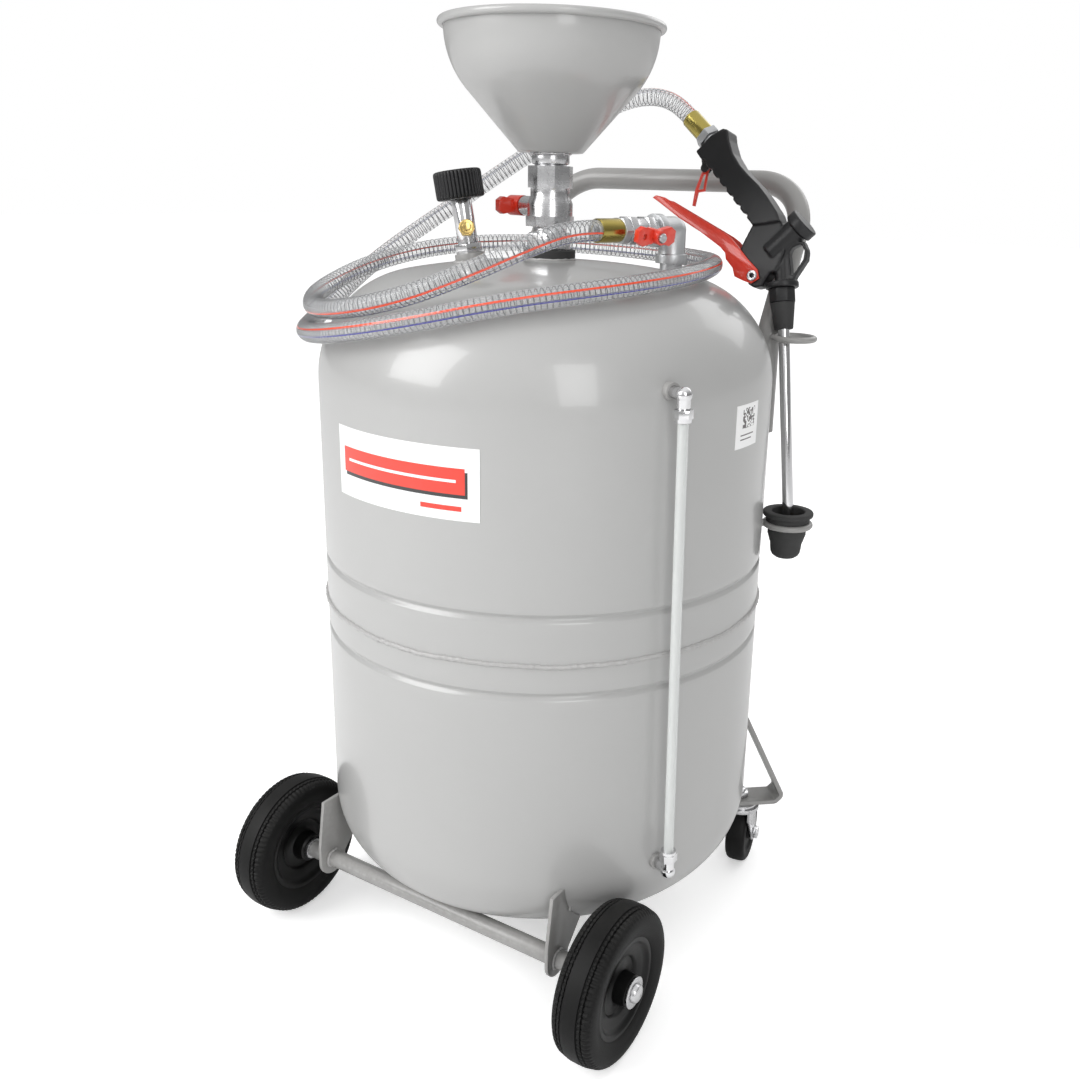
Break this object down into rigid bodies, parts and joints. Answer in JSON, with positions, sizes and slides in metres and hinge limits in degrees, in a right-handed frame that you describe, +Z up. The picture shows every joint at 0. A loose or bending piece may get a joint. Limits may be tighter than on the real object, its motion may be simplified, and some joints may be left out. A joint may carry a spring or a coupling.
{
  "type": "bead seater blaster tank",
  "caption": "Portable air tank on wheels with a filling funnel, dump valve, sight tube, carrying handle and a blow gun on a clear hose.",
  "frame": {"origin": "on the floor under the middle of the object, hose left out", "axes": "+Z up, -Y to the front label, +X towards the side with the sight tube and the gun"},
  "size_m": [0.4989, 0.5418, 0.9377],
  "materials": {
    "grey_paint": "light grey gloss paint",
    "label": "white printed film",
    "steel": "bright steel",
    "zinc": "galvanised",
    "chrome": "plated",
    "black_rubber": "matte",
    "clear_tube": "clear plastic tube",
    "red_plastic": "red coated",
    "black_plastic": "fine grained",
    "brass": "turned",
    "white_plastic": "soft white",
    "yellow_zinc": "yellow passivated",
    "clear_hose": "clear PVC with a steel spiral",
    "tyre": "black rubber"
  },
  "bodies": {
    "tank": {"axle_brackets": "grey_paint", "axle_caps": "zinc", "axle_rod": "steel", "axle_tube": "grey_paint", "caster_stems": "chrome", "caster_straps": "grey_paint", "centre_seal": "black_rubber", "dip_tube": "steel", "filler_neck": "chrome", "funnel": "grey_paint", "funnel_nipple": "zinc", "funnel_valve_body": "chrome", "gun_body": "black_plastic", "gun_cap": "black_plastic", "handle_tube": "grey_paint", "holder_rings": "grey_paint", "hose": "clear_hose", "hose_ferrules": "yellow_zinc", "hose_tails": "zinc", "labels": "label", "lance_grip": "black_rubber", "lance_tip": "brass", "lance_tube": "chrome", "nozzle_nut": "black_plastic", "outlet_elbow": "zinc", "outlet_valve_body": "chrome", "rubber_cup": "black_rubber", "safety_spring": "steel", "safety_valve_body": "brass", "sight_elbows": "chrome", "sight_nuts": "chrome", "sight_tube": "clear_tube", "tank_bosses": "grey_paint", "tank_shell": "grey_paint", "trigger_pin": "steel", "valve_adapter": "zinc", "valve_seats": "white_plastic", "valve_spring": "steel"},
    "wheel_left": {"wheel_left_tyre": "tyre", "wheel_left_disc": "black_plastic"},
    "wheel_right": {"wheel_right_tyre": "tyre", "wheel_right_disc": "black_plastic"},
    "caster_left_swivel": {"caster_left_fork": "chrome", "caster_left_axle": "chrome"},
    "caster_right_swivel": {"caster_right_fork": "chrome", "caster_right_axle": "chrome"},
    "caster_left_roller": {"caster_left_wheel": "tyre"},
    "caster_right_roller": {"caster_right_wheel": "tyre"},
    "funnel_valve_core": {"funnel_valve_handle": "red_plastic", "funnel_valve_ball": "chrome"},
    "outlet_valve_core": {"outlet_valve_handle": "red_plastic", "outlet_valve_ball": "chrome"},
    "filler_screw": {"filler_plug": "brass"},
    "safety_valve_pull_rod": {"safety_valve_stem": "brass"},
    "trigger_lever": {"trigger": "red_plastic"},
    "gun_valve": {"valve_pin": "brass"},
    "gun_lock": {"lock_clip": "red_plastic"},
    "filler_knob": {"filler_cap": "black_plastic"}
  },
  "joints": [
    {"name": "wheel_left_spin", "type": "hinge", "parent": "tank", "child": "wheel_left", "pos_m": [-0.2115, -0.1957, 0.075], "axis": [1, 0, 0], "continuous": true},
    {"name": "caster_left_turn", "type": "hinge", "parent": "tank", "child": "caster_left_swivel", "pos_m": [-0.18854, 0.14583, 0.08], "axis": [0, 0, 1], "continuous": true},
    {"name": "caster_left_roll", "type": "hinge", "parent": "caster_left_swivel", "child": "caster_left_roller", "pos_m": [-0.18576, 0.16159, 0.0375], "axis": [-0.9848, 0.1736, 0], "continuous": true},
    {"name": "wheel_right_spin", "type": "hinge", "parent": "tank", "child": "wheel_right", "pos_m": [0.2005, -0.1957, 0.075], "axis": [1, 0, 0], "continuous": true},
    {"name": "caster_right_turn", "type": "hinge", "parent": "tank", "child": "caster_right_swivel", "pos_m": [0.17754, 0.14583, 0.08], "axis": [0, 0, 1], "continuous": true},
    {"name": "caster_right_roll", "type": "hinge", "parent": "caster_right_swivel", "child": "caster_right_roller", "pos_m": [0.17476, 0.16159, 0.0375], "axis": [0.9848, 0.1736, 0], "continuous": true},
    {"name": "funnel_valve_turn", "type": "hinge", "parent": "tank", "child": "funnel_valve_core", "pos_m": [-0.05115, -0.00053, 0.769], "axis": [-0.9816, 0.1908, 0], "range_deg": [0, 90]},
    {"name": "outlet_valve_turn", "type": "hinge", "parent": "tank", "child": "outlet_valve_core", "pos_m": [0.14152, -0.05917, 0.74821], "axis": [0.9494, -0.2722, -0.1564], "range_deg": [0, 90]},
    {"name": "filler_rise", "type": "slide", "parent": "tank", "child": "filler_screw", "axis": [-0.15, -0.06, 0.9869], "range_m": [0, 0.006]},
    {"name": "filler_turn", "type": "hinge", "parent": "filler_screw", "child": "filler_knob", "pos_m": [-0.074, -0.0656, 0.78109], "axis": [-0.15, -0.06, 0.9869], "range_deg": [0, 720]},
    {"name": "safety_valve_pull", "type": "slide", "parent": "tank", "child": "safety_valve_pull_rod", "axis": [0.6365, -0.7586, 0.1392], "range_m": [0, 0.0015], "stiffness_N_per_m": 8000, "springref_m": -0.002, "deforming": ["safety_spring"]},
    {"name": "trigger_pull", "type": "hinge", "parent": "tank", "child": "trigger_lever", "pos_m": [0.14512, 0.16432, 0.70103], "axis": [0, 0.9822, -0.1878], "range_deg": [0, 20], "stiffness_Nm_per_rad": 2, "springref_deg": -8.59},
    {"name": "gun_valve_slide", "type": "slide", "parent": "tank", "child": "gun_valve", "axis": [0.691, 0.1358, 0.71], "range_m": [0, 0.003], "deforming": ["valve_spring"]},
    {"name": "lock_swing", "type": "hinge", "parent": "tank", "child": "gun_lock", "pos_m": [0.06806, 0.18543, 0.81145], "axis": [0, 0.9822, -0.1878], "range_deg": [-60, 0]}
  ],
  "couplings": [
    {"joint": "filler_rise", "follows": "filler_turn", "m_per_rad": 0.00047746},
    {"joint": "gun_valve_slide", "follows": "trigger_pull", "m_per_rad": 0.0081},
    {"joint": "lock_swing", "follows": "trigger_pull", "ratio": -2.25}
  ]
}
